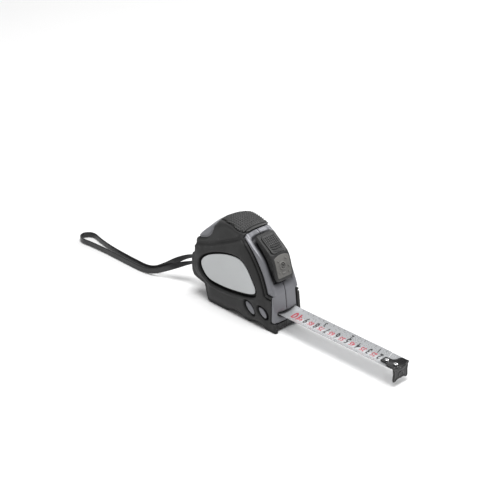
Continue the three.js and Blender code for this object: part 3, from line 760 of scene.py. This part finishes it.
# ---- Round cover, belt clip and screws on the clip side ----
def cover():
    """Round cover with a stepped rim, a shallow seat for the clip and its screw hole."""
    g = Grid((-10.8, 13.2, 10.6), (40.8, 17.9, 62.2), 0.34)
    x, y, z = g.x, g.y, g.z
    reach = around(x, z, DRUM)
    face = 17.1 - 0.8 * step(reach, 22.8, 23.8)
    face = face - 0.3 * bump(reach, 20.6, 0.4) - 0.25 * step(reach, 19.4, 18.6)
    face = face + 0.25 * (1 - step(round_box(x - 12, z - 40.5, 8.2, 10.5, 2), 0, 0.6))
    field = meet(y - face, reach - COVER_REACH, 0.8)
    field = meet(field, 13.8 - y)
    field = cut(field, around(x, z, CLIP_SCREW) - SCREW_BORE, 0.3)
    field = cut(field, region(x, z, CRESCENT) - GAP, 0.3)
    return nets(g, cut(field, around(x, z, SCREWS["top"]) - SCREW_WELL, 0.3))


piece("clip_side_cover", *cover(), LOOKS["cover"], "case", ["round_cover"], "cover")


def clip():
    """One bent spring strip: the screwed leg, the bend at the top and the outer leg with its flared lip."""
    g = Grid((0.6, 16.8, 16.2), (23.7, 25.6, 52.6), 0.27)
    x, y, z = g.x, g.y, g.z
    turn = np.linspace(math.pi, 0, 17)
    arc = np.stack([20.225 + 2.225 * np.cos(turn), 49 + 2.225 * np.sin(turn)], 1)
    outer_leg = spline([(22.4, 40), (22.3, 24), (22.9, 20.4), (24.4, 17.5)], 6)
    away, run = track(y, z, np.concatenate([[(18.0, 37)], arc, outer_leg]))
    across = x - CLIP_MIDDLE
    wide = 6.6 + 2.4 * step(run, 12, 15.5) + 1.6 * step(run, 16, 19)
    strip = meet(away - 0.55, np.abs(across) - wide, 0.5)
    lip = 21.9 - 4.9 * np.sqrt(np.maximum(1 - (across / 10.7) ** 2, 0))
    outer = np.maximum(round_box(across, z - 34.2, 10.6, 17.2, 3.0), 0.8 * (lip - z))
    strip = np.where(y > 20.3, meet(strip, outer, 0.4), strip)
    strip = meet(strip, np.maximum(round_box(across, z - 46, 10.6, 9.0, 1.5), 0) * (y < 20.2) - 0.01)
    window = block(round_box(x - 12, z - 39.5, 4, 6.8, 0.8), 20 - y)
    strip = cut(strip, window, 0.4)
    return nets(g, cut(strip, block(around(x, z, CLIP_SCREW) - SCREW_BORE, y - 20), 0.2))


clip_strip = piece("spring_clip", *clip(), LOOKS["black_steel"])
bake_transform(clip_strip)
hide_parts("clip_root", "belt_clip")


def screw(x0, z0, top, length, radius):
    """A screw along Y with a domed cross head, its thread as one helical ridge."""
    room = radius + 0.4
    g = Grid((x0 - room, top - length - 0.4, z0 - room), (x0 + room, top + 0.4, z0 + room), 0.15)
    x, y, z = g.x - x0, g.y, g.z - z0
    reach = np.hypot(x, z)
    head = meet(meet(reach - radius, y - top + 0.05 * reach ** 2, 0.6), top - 1.4 - y)
    turns = y / 0.7 + np.arctan2(z, x) / (2 * math.pi)
    thread = 0.14 * np.abs((turns % 1) * 2 - 1)
    field = join(head, block(reach - 1 + thread, top - length - y, y - top + 0.5))
    cross = np.minimum(round_box(x, z, 1.25, 0.28, 0.1), round_box(x, z, 0.28, 1.25, 0.1))
    return nets(g, cut(field, np.maximum(cross, top - 0.95 + 0.5 * reach - y)))


for where, (sx, sz) in SCREWS.items():
    piece(f"cross_screw_{where}", *screw(sx, sz, 12.6, 14.6, 2.1), LOOKS["dark_steel"], "case",
          [f"case_screw_{where}"], "steel")
piece("clip_fixing_screw", *screw(*CLIP_SCREW, 20.2, 6.2, 2.0), LOOKS["steel"], "case", ["clip_screw"],
      "steel")


# ---- Lock button: body, ribbed thumb pad and the paler face ----
def button():
    """The button's body, with grooves along its sides, the stalk to the brake and a seat for the pad."""
    g = Grid((30.9, -9.4, 36.4), (56, 9.4, 68.4), 0.25)
    x, y, z = g.x, g.y, g.z
    side, half = np.abs(y), 8.8
    line = [(54, 37.1), (55.2, 38.8), (54.7, 42.2), (53.7, 45.8), (52.4, 50), (50.9, 54.0), (48.6, 57.4),
            (45.6, 59.8), (42.5, 62), (34.6, 67.5), (32.6, 67.6), (31.7, 66.6), (32.8, 63.9), (38.6, 58.9),
            (44.4, 52.4), (49, 44.4)]
    profile = region(x, z, line)
    # Rounded corners at the top end, measured down the slope, and at the foot.
    down = (x - 31.9) * 0.819 - (z - 67.4) * 0.574
    corner = np.hypot(np.maximum(2.2 - down, 0), np.maximum(side - 6.6, 0)) - 2.2
    corner = np.where((down < 2.2) & (side > 6.6), corner, side - half)
    foot = np.hypot(np.maximum(40.6 - z, 0), np.maximum(side - 5.6, 0)) - 3.2
    foot = np.where((z < 40.6) & (side > 5.6), foot, side - half)
    field = meet(profile, np.maximum(corner, foot), 1.2)
    inner = profile + 1.6
    for k in range(3):
        groove = np.maximum(np.abs(inner + 1.1 * k) - 0.26, 8.2 - side)
        groove = np.maximum(groove, 46.5 - z + 2 * k)
        field = cut(field, np.maximum(groove, z - 63 + 2 * k), 0.3)
    field = join(field, block(region(x, z, [(50, 45), (46, 52), (39.2, 49.2), (41.6, 41.8)]), side - 2.2))
    seat = region(x, z, [(47.9, 58.0), (42.1, 62.3), (35.3, 66.9), (36.3, 68.6), (43, 64), (49.4, 59.6)])
    field = cut(field, block(seat, side - 6.9), 0.25)
    return nets(g, field)


piece("sliding_button", *button(), LOOKS["button"], "lock", ["lock_button"], "button")


def laid(points, route, lift=0.0):
    """Maps (along, across, out) onto a line in the side view, out being to its left."""
    line = np.array(route, float)
    run, tangent = runs(line)
    s = np.clip(points[:, 0], 0, run[-1])
    px, pz = np.interp(s, run, line[:, 0]), np.interp(s, run, line[:, 1])
    tx, tz = np.interp(s, run, tangent[:, 0]), np.interp(s, run, tangent[:, 1])
    out = points[:, 2] + lift
    return np.stack([px - tz * out, points[:, 1], pz + tx * out], 1)


def thumb_pad():
    """Rubber pad with rows of dots above and three curved ridges below, laid on the button's slope."""
    g = Grid((-0.6, -7.2, -1.3), (17, 7.2, 1.8), 0.17)
    u, v, w = g.x, g.y, g.z
    top = 0.12 * np.ones_like(u)
    rows = (np.abs(((u - 1.4) % 1.7) - 0.85), np.abs(((v + 0.85) % 1.7) - 0.85))
    dots = 1 - step(np.hypot(*rows), 0.32, 0.62)
    top = top + 0.6 * dots * step(u, 0.9, 1.3) * step(u, 9.8, 9.4) * step(np.abs(v), 6.0, 5.6)
    bend = u - 0.0275 * (36 - v ** 2)
    for k in range(3):
        ends = step(np.abs(v), 5.9 - 0.3 * k, 5.0 - 0.3 * k)
        top = top + 0.8 * bump(bend, 9.9 + 1.9 * k, 0.45) * ends
    field = meet(w - top, round_box(u - 8.1, v, 8.0, 6.55, 2.2), 0.35)
    points, quads = nets(g, meet(field, -0.85 - w))
    route = spline([(35.7, 67.5), (42.3, 62.9), (46.6, 59.9), (48.9, 58.2)], 8)
    return laid(points, route), quads


outward(piece("ribbed_thumb_pad", *thumb_pad(), LOOKS["pad"], "lock", ["button_pad"], "grip"))


def face_panel():
    """The paler panel on the button's lower face, with a raised ring and small marks."""
    g = Grid((-0.5, -7.8, -0.9), (18.6, 7.8, 1.3), 0.18)
    u, v, w = g.x, g.y, g.z
    arch = 1.6 * (v / 6.6) ** 2
    shape = meet(round_box(u - 9.1, v, 8.5, 7.2, 1.8), arch + 0.6 - u, 0.4)
    top = 0.16 * np.ones_like(u)
    ring = np.hypot(u - 8.8, v + 0.8)
    top = top + 0.75 * bump(ring, 2.6, 0.45)
    hoop = np.maximum(np.abs(ring - 1.2) - 0.25, -(v + 0.8) - 0.3)
    top = top + 0.75 * (1 - step(hoop, -0.05, 0.3))
    for du, dv in ((4.4, 3.6), (4.8, -4.4), (10.4, 5), (13, -4.6), (14.2, 4.2)):
        top = top + 0.75 * (1 - step(np.hypot(u - du, v - dv), 0.45, 0.8))
    top = top + 0.5 * (1 - step(round_box(u - 14.2, v + 0.6, 0.35, 1.5, 0.3), 0, 0.3))
    field = meet(meet(w - top, shape, 0.25), -0.5 - w)
    points, quads = nets(g, field)
    route = spline([(49.3, 57.1), (50.5, 54.7), (51.6, 52.2), (52.5, 49.6), (53.3, 47.2), (54.1, 44.4),
                    (54.7, 41.8), (55, 40)], 8)
    return laid(points, route, -0.02), quads


outward(piece("button_face", *face_panel(), LOOKS["panel"], "lock", ["lock_button"], "button"))


# ---- Rubber bumper under the blade ----
def bumper():
    """The block that the hook meets when the blade runs in, its front face lightly ribbed."""
    g = Grid((53.8, -10.2, 0.4), (58.9, 10.2, 7.2), 0.3)
    x, y, z = g.x, g.y, g.z
    front = 58.2 - 0.25 * (0.5 - 0.5 * np.cos(2 * math.pi * y / 2.4)) - 0.2 * step(np.abs(z - 3.8), 2.0, 2.8)
    return nets(g, meet(meet(x - front, 54.4 - x, 0.4), round_box(y, z - 3.8, 9.6, 2.8, 0.8), 0.5))


piece("hook_bumper", *bumper(), LOOKS["grip"], "case", ["mouth_bumper"], "grip")


# ---- Blade ----
def curl(y):
    """How far the curled blade rises above its lowest line."""
    return CURL * (y / BLADE_HALF) ** 2


def blade_top(x, y):
    """Height of the blade's upper face; inside the case it flattens towards the coil."""
    return BLADE_Z + THICK + RISE + (curl(y) - RISE) * step(x, BLADE_START + 4, FLAT_TO)


def blade_mesh(x0, x1, rows, columns=28):
    """A closed length of blade, one ring of points at each row."""
    xs, ys = np.linspace(x0, x1, rows), np.linspace(-BLADE_HALF, BLADE_HALF, columns + 1)
    points, loop = [], 2 * (columns + 1)
    for x in xs:
        for y in ys:
            points.append((x, y, blade_top(x, y) - THICK))
        for y in ys[::-1]:
            points.append((x, y, blade_top(x, y)))
    faces = bands(rows, loop)
    for r in (0, rows - 1):
        for i in range(columns):
            faces.append([r * loop + i, r * loop + i + 1, r * loop + loop - 2 - i, r * loop + loop - 1 - i])
    return points, faces


def sharp_edges(obj, degrees=40):
    """Smooth faces meet smoothly, and corners sharper than this stay crisp."""
    work = bmesh.new()
    work.from_mesh(obj.data)
    for edge in work.edges:
        if len(edge.link_faces) == 2 and edge.calc_face_angle(0) > math.radians(degrees):
            edge.smooth = False
    work.to_mesh(obj.data)
    work.free()
    return obj


def with_blade(obj):
    """Gives the piece its own copy of its mesh."""
    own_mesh(obj)


tape = piece("tape_blade", *blade_mesh(BLADE_START, BLADE_JOINT, 90), LOOKS["tape"], "case", ["blade"],
             "tape")
with_blade(sharp_edges(outward(tape)))


def tip():
    """The blade's end under the hook, with rounded corners and the rivets' holes."""
    g = Grid((150.1, -9.6, 10.8), (164.4, 9.6, 15.3), 0.2)
    x, y, z = g.x, g.y, g.z
    middle = BLADE_Z + THICK / 2 + curl(y)
    plan = np.maximum(BLADE_JOINT + 0.25 - x, round_box(x - 154, y, BLADE_END - 154.7, BLADE_HALF, 1.5))
    field = np.maximum(np.abs(z - middle) * 0.9 - 0.15, plan)
    for rx in RIVETS.values():
        field = cut(field, np.hypot(x - rx, y) - RIVET_BORE)
    return nets(g, field, 0)


piece("blade_tip_end", *tip(), LOOKS["tape"], "blade_end", ["blade_tip"], "tape")


# ---- Print on the blade: centimetre, millimetre and inch figures and graduations, read from +Y ----
def figure(text, height, bold):
    """Flat outline of a figure as a bmesh, in millimetres, with its middle at the origin."""
    data = bpy.data.curves.new("figure", "FONT")
    data.body, data.size, data.offset = text, height / 0.72, bold
    data.resolution_u = 5
    holder = bpy.data.objects.new("figure", data)
    bpy.context.scene.collection.objects.link(holder)
    mesh = bpy.data.meshes.new_from_object(holder.evaluated_get(bpy.context.evaluated_depsgraph_get()))
    work = bmesh.new()
    work.from_mesh(mesh)
    bpy.data.objects.remove(holder)
    bpy.data.meshes.remove(mesh)
    co = np.array([v.co for v in work.verts])
    middle = (co.min(0) + co.max(0)) / 2
    for v in work.verts:
        v.co -= Vector(middle)
    return work


def printed(name, look_name, marks, body):
    """All marks of one colour as thin solids on the blade, from flat meshes in x and y."""
    points, faces = [], []
    for work in marks:
        for cut_at in np.arange(-8.7, 8.8, 0.6):
            bmesh.ops.bisect_plane(work, geom=work.verts[:] + work.edges[:] + work.faces[:],
                                   plane_co=(0, cut_at, 0), plane_no=(0, 1, 0), dist=1e-5)
        bmesh.ops.remove_doubles(work, verts=work.verts, dist=1e-4)
        for f in work.faces:
            if f.normal.z < 0:
                f.normal_flip()
        made = bmesh.ops.extrude_face_region(work, geom=work.faces[:])
        low = {v for v in made["geom"] if isinstance(v, bmesh.types.BMVert)}
        work.verts.index_update()
        base = len(points)
        for v in work.verts:
            lift = -PRINT_SUNK if v in low else PRINT_PROUD
            points.append((v.co.x, v.co.y, blade_top(v.co.x, v.co.y) + lift))
        faces += [[base + v.index for v in f.verts] for f in work.faces]
        work.free()
    return outward(piece(name, points, faces, LOOKS[look_name], body, smooth=False))


def mark(x0, x1, y0, y1):
    """One flat rectangle."""
    work = bmesh.new()
    work.faces.new([work.verts.new((a, b, 0)) for a, b in ((x0, y0), (x1, y0), (x1, y1), (x0, y1))])
    return work


def placed(work, x, y, squeeze=0.64):
    """Turned to read from +Y, narrowed and set on the blade."""
    for v in work.verts:
        v.co = Vector((x - v.co.x * squeeze, y - v.co.y, 0))
    return work


def graduations(x0, x1):
    """Millimetre lines on the near edge, half centimetre lines on the far one, from the hook's face."""
    marks, edge = [], BLADE_HALF - 0.35
    for k in range(int(HOOK_FACE - x1) + 1, int(HOOK_FACE - x0) + 1):
        x = HOOK_FACE - k
        length = 2.8 if k % 10 == 0 else 2.0 if k % 5 == 0 else 1.2
        wide = 0.13 if k % 10 == 0 else 0.06
        marks.append(mark(x - wide, x + wide, -edge, -edge + length))
        if k % 5 == 0:
            marks.append(mark(x - wide, x + wide, edge - length * 0.5, edge))
    return marks


black = graduations(48, 150.2)
red = []
for k in range(2, 10):
    black.append(placed(figure(str(k), 6.4, 0.26), HOOK_FACE - 10 * k - 1.1, 1.5))
    red.append(placed(figure(str(10 * k + 5), 4.6, 0.16), HOOK_FACE - 10 * k - 6, 0.9, 0.7))
for inches in (1, 2, 3):
    black.append(placed(figure(str(inches), 3.4, 0.14), HOOK_FACE - 25.4 * inches, 5.9, 0.9))
red.append(placed(figure("10", 7.2, 0.3), HOOK_FACE - 100.8, 1.2, 0.78))
with_blade(printed("scale_print_black", "black_print", black, "case"))
with_blade(printed("scale_print_red", "red_print", red, "case"))
printed("tip_print", "black_print", graduations(151, 163.5), "blade_end")


# ---- End hook and rivets ----
def hook():
    """A tongue that follows the blade's curl, with slots for the rivets, and the plate that turns down."""
    g = Grid((148.4, -8.9, 2.6), (167.1, 8.9, 16.2), 0.2)
    x, y, z = g.x, g.y, g.z
    side = np.abs(y)
    over = BLADE_Z + THICK + 0.3 + curl(y) + 0.45
    half = [(149.2, 1.9), (150, 3.1), (151.6, 3.5), (154.6, 3.5), (156.9, 4.7), (158.4, 6.9), (160.4, 7.95),
            (164, 8.05), (168, 8)]
    plan = region(x, y, spline(half + [(u, -v) for u, v in half[::-1]], 5, True))
    plan = meet(plan, x - HOOK_FACE, 2.6)
    raised = 0.12 * (1 - step(np.abs(plan + 0.7), 0.25, 0.6))
    tongue = meet(np.abs(z - over) * 0.93 - 0.43 - raised * (z > over), plan, 0.35)
    edge = [(8, 14.6), (7.3, 9.4), (7.7, HOOK_LOW + 1.9), (7.2, HOOK_LOW + 0.4), (6, HOOK_LOW),
            (4.7, HOOK_LOW + 0.4), (3.8, HOOK_LOW + 1), (2.6, HOOK_LOW + 1.3)]
    front = region(y, z, edge + [(-v, w) for v, w in edge[::-1]] + [(-4, 12.9), (0, 12.3), (4, 12.9)])
    ridge = 0.45 * bump(front, -1.0, 0.45) * step(z, 12.2, 11.4)
    ridge = ridge + 0.45 * bump(np.hypot(y, z - 7.4), 2.3, 0.4) * step(z, 6.2, 7.0)
    plate_front = meet(front, np.maximum(x - HOOK_FACE + 0.35 - ridge, HOOK_FACE - 1.5 - x), 0.35)
    field = join(meet(tongue, x - HOOK_FACE, 0.5), plate_front, 0.9)
    field = np.maximum(field, x - HOOK_FACE)
    for rx in RIVETS.values():
        hole = np.hypot(np.maximum(np.abs(x - rx - 0.5) - 0.5, 0), y) - RIVET_BORE
        field = cut(field, np.maximum(hole, 8 - z), 0.15)
    return nets(g, field)


piece("hook_plate", *hook(), LOOKS["black_steel"], "hook", ["end_hook"], "black_steel")


def rivet(x0):
    """Domed head over the hook, shank, and a flat tail under the blade."""
    top = BLADE_Z + 2.74
    g = Grid((x0 - 2.1, -2.1, BLADE_Z - 1.1), (x0 + 2.1, 2.1, top + 0.4), 0.13)
    x, y, z = g.x - x0, g.y, g.z
    reach = np.hypot(x, y)
    head = meet(reach - 1.8, z - top + 0.17 * reach ** 2, 0.3)
    head = np.maximum(head, top - 0.75 - z)
    tail = meet(meet(reach - 1.6, BLADE_Z - 0.7 - z, 0.3), z - BLADE_Z + 0.3)
    shank = block(reach - 0.95, BLADE_Z - 0.4 - z, z - top + 0.6)
    return nets(g, join(join(head, tail), shank))


for where, rx in RIVETS.items():
    piece(f"hook_{where}_rivet", *rivet(rx), LOOKS["steel"], "blade_end", [f"hook_rivet_{where}"], "steel")


# ---- CAD pieces kept as they are: the works inside the case ----
KEPT = {
    "centre_post": ("steel", "steel"), "strap_pin": ("steel", "steel"), "lock_spring": ("steel", "steel"),
    "power_spring": ("dark_steel", "steel"), "reel": ("reel_plastic", "reel_plastic"),
    "reel_cover": ("reel_plastic", "reel_plastic"), "brake_shoe": ("reel_plastic", "reel_plastic"),
    "blade_coil": ("tape", "tape"),
}
for node, (look_name, slot_name) in KEPT.items():
    obj = frame["nodes"][node]
    obj.data.materials.clear()
    obj.data.materials.append(LOOKS[look_name])
    bevel = obj.modifiers.new("softened edges", "BEVEL")
    bevel.width, bevel.segments, bevel.limit_method = 0.00012, 2, "ANGLE"


# ---- Floor and light ----
def floor():
    work = bmesh.new()
    bmesh.ops.create_grid(work, x_segments=24, y_segments=24, size=3.0)
    data = bpy.data.meshes.new("floor")
    work.to_mesh(data)
    work.free()
    obj = bpy.data.objects.new("floor", data)
    bpy.context.scene.collection.objects.link(obj)
    obj.location = (0, 0, -0.00005)
    data.materials.append(look("white paper sweep", (0.86, 0.86, 0.86), 0.9, specular=0.1, grain=(300, 0.02),
                               patch=(3, 0.004), worn=(0.0, 1.0)))


def area(name, place, target, size, watts):
    """A rectangular light at a place, turned to its target."""
    data = bpy.data.lights.new(name, "AREA")
    data.shape, data.size, data.size_y = "RECTANGLE", size[0], size[1]
    data.energy = watts
    obj = bpy.data.objects.new(name, data)
    bpy.context.scene.collection.objects.link(obj)
    obj.location = place
    obj.rotation_euler = (Vector(target) - Vector(place)).to_track_quat("-Z", "Y").to_euler()


def world(strength):
    w = bpy.data.worlds.new("studio")
    bpy.context.scene.world = w
    w.use_nodes = True
    shade = w.node_tree.nodes["Background"]
    shade.inputs["Color"].default_value = (1, 1, 1, 1)
    shade.inputs["Strength"].default_value = strength


floor()
area("top softbox", (0.24, -0.2, 1.48), (0.03, 0, 0), (0.8, 0.8), 23)
area("back softbox", (-1.25, 1.25, 0.95), (0.05, 0, 0.02), (1.2, 0.8), 3)
area("rear softbox", (0.3, 1.3, 1.1), (0.05, 0, 0.03), (0.9, 0.6), 12)
world(0.32)
bpy.context.scene.view_settings.view_transform = "Standard"
